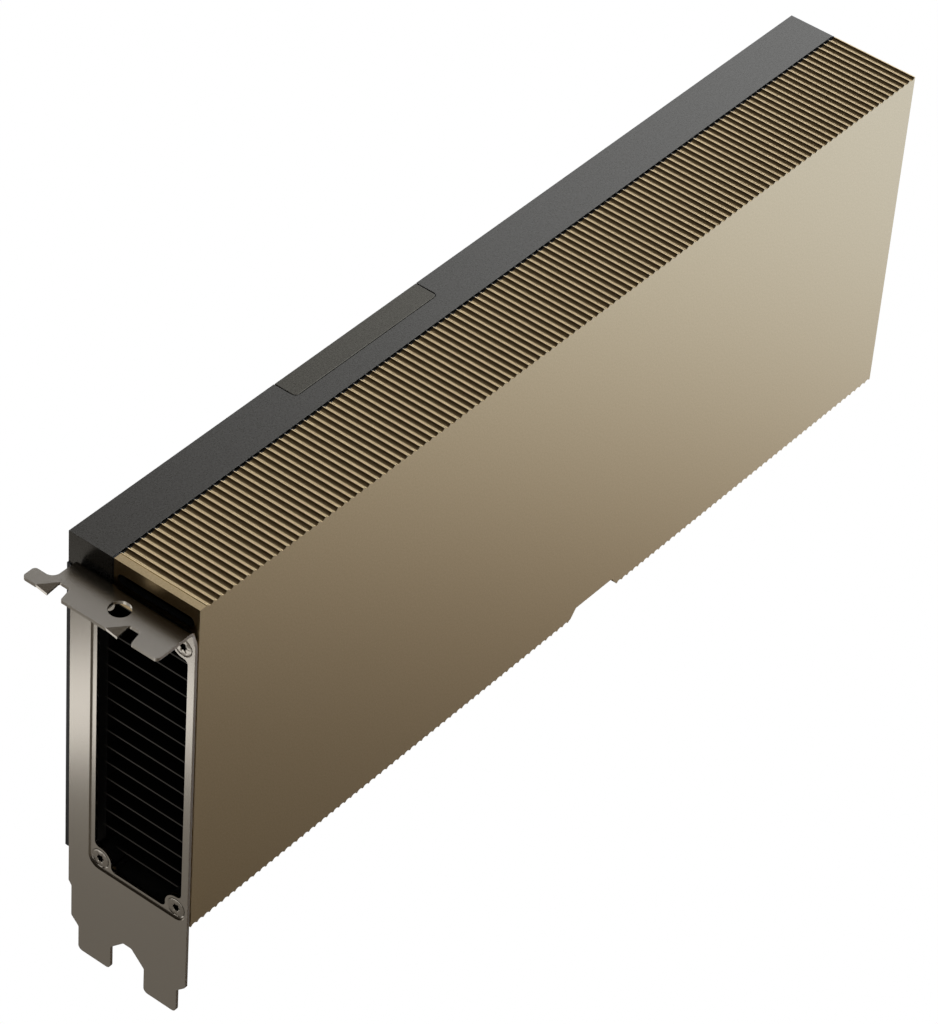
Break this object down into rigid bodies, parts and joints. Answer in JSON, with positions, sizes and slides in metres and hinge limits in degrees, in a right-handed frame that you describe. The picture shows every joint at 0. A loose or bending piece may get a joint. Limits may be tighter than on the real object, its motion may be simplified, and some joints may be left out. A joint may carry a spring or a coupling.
{
  "type": "passive accelerator card",
  "caption": "Full-length two-slot accelerator card with a fluted shroud over a finned heatsink, slotted bracket, key-notched contact edge and backplate, cooled by the air of its server.",
  "frame": {"origin": "middle of the key slot in the contact edge, at the edge that goes into the slot, half way through the board", "axes": "+X along the card away from its bracket, +Y from the cooler towards the backplate, +Z away from the contact edge"},
  "size_m": [0.2791, 0.0398, 0.126],
  "materials": {
    "nickel_plated_steel": "nickel plated, fine satin",
    "nickel_plated_screws": "nickel plated, satin",
    "gold_anodised_aluminium": "bead blasted, pale gold anodised",
    "black_screws": "black oxide",
    "fin_aluminium": "dark anodised sheet",
    "base_aluminium": "black anodised, machined",
    "board_laminate": "solder mask, satin",
    "contact_gold": "hard gold plate",
    "package_laminate": "solder mask, satin",
    "silicon": "ground, glossy",
    "stiffener_steel": "satin",
    "thermal_paste": "matt paste",
    "ferrite": "pressed powder, matt",
    "thermal_pad": "matt, soft",
    "epoxy_package": "moulded, matt",
    "capacitor_case": "moulded, satin",
    "ceramic_chip": "fired, satin",
    "connector_nylon": "moulded, satin",
    "pin_tin": "tin plated",
    "black_cover": "black, fine satin",
    "grey_cap": "moulded, fine satin",
    "black_anodised_aluminium": "black anodised, satin",
    "insulating_film": "smooth film",
    "spring_steel": "rolled, satin"
  },
  "bodies": {
    "root": {"io_bracket": "nickel_plated_steel", "bracket_screws": "nickel_plated_screws", "shroud": "gold_anodised_aluminium", "shroud_screws": "black_screws", "heatsink_fins": "fin_aluminium", "heatsink_base": "base_aluminium", "circuit_board": "board_laminate", "edge_contacts": "contact_gold", "bridge_contacts": "contact_gold", "processor_substrate": "package_laminate", "processor_die": "silicon", "memory_stacks": "silicon", "package_stiffener": "stiffener_steel", "thermal_paste": "thermal_paste", "inductors": "ferrite", "inductor_pads": "thermal_pad", "power_stages": "epoxy_package", "power_stage_pads": "thermal_pad", "polymer_capacitors": "capacitor_case", "ceramic_capacitors": "ceramic_chip", "controller_chips": "epoxy_package", "power_connector_housing": "connector_nylon", "power_connector_pins": "pin_tin", "top_cover": "black_cover", "bridge_cover": "grey_cap", "backplate": "black_anodised_aluminium", "insulating_sheet": "insulating_film", "backplate_screws": "black_screws", "retention_spring": "spring_steel", "hold_down_screws": "nickel_plated_screws"}
  },
  "joints": []
}
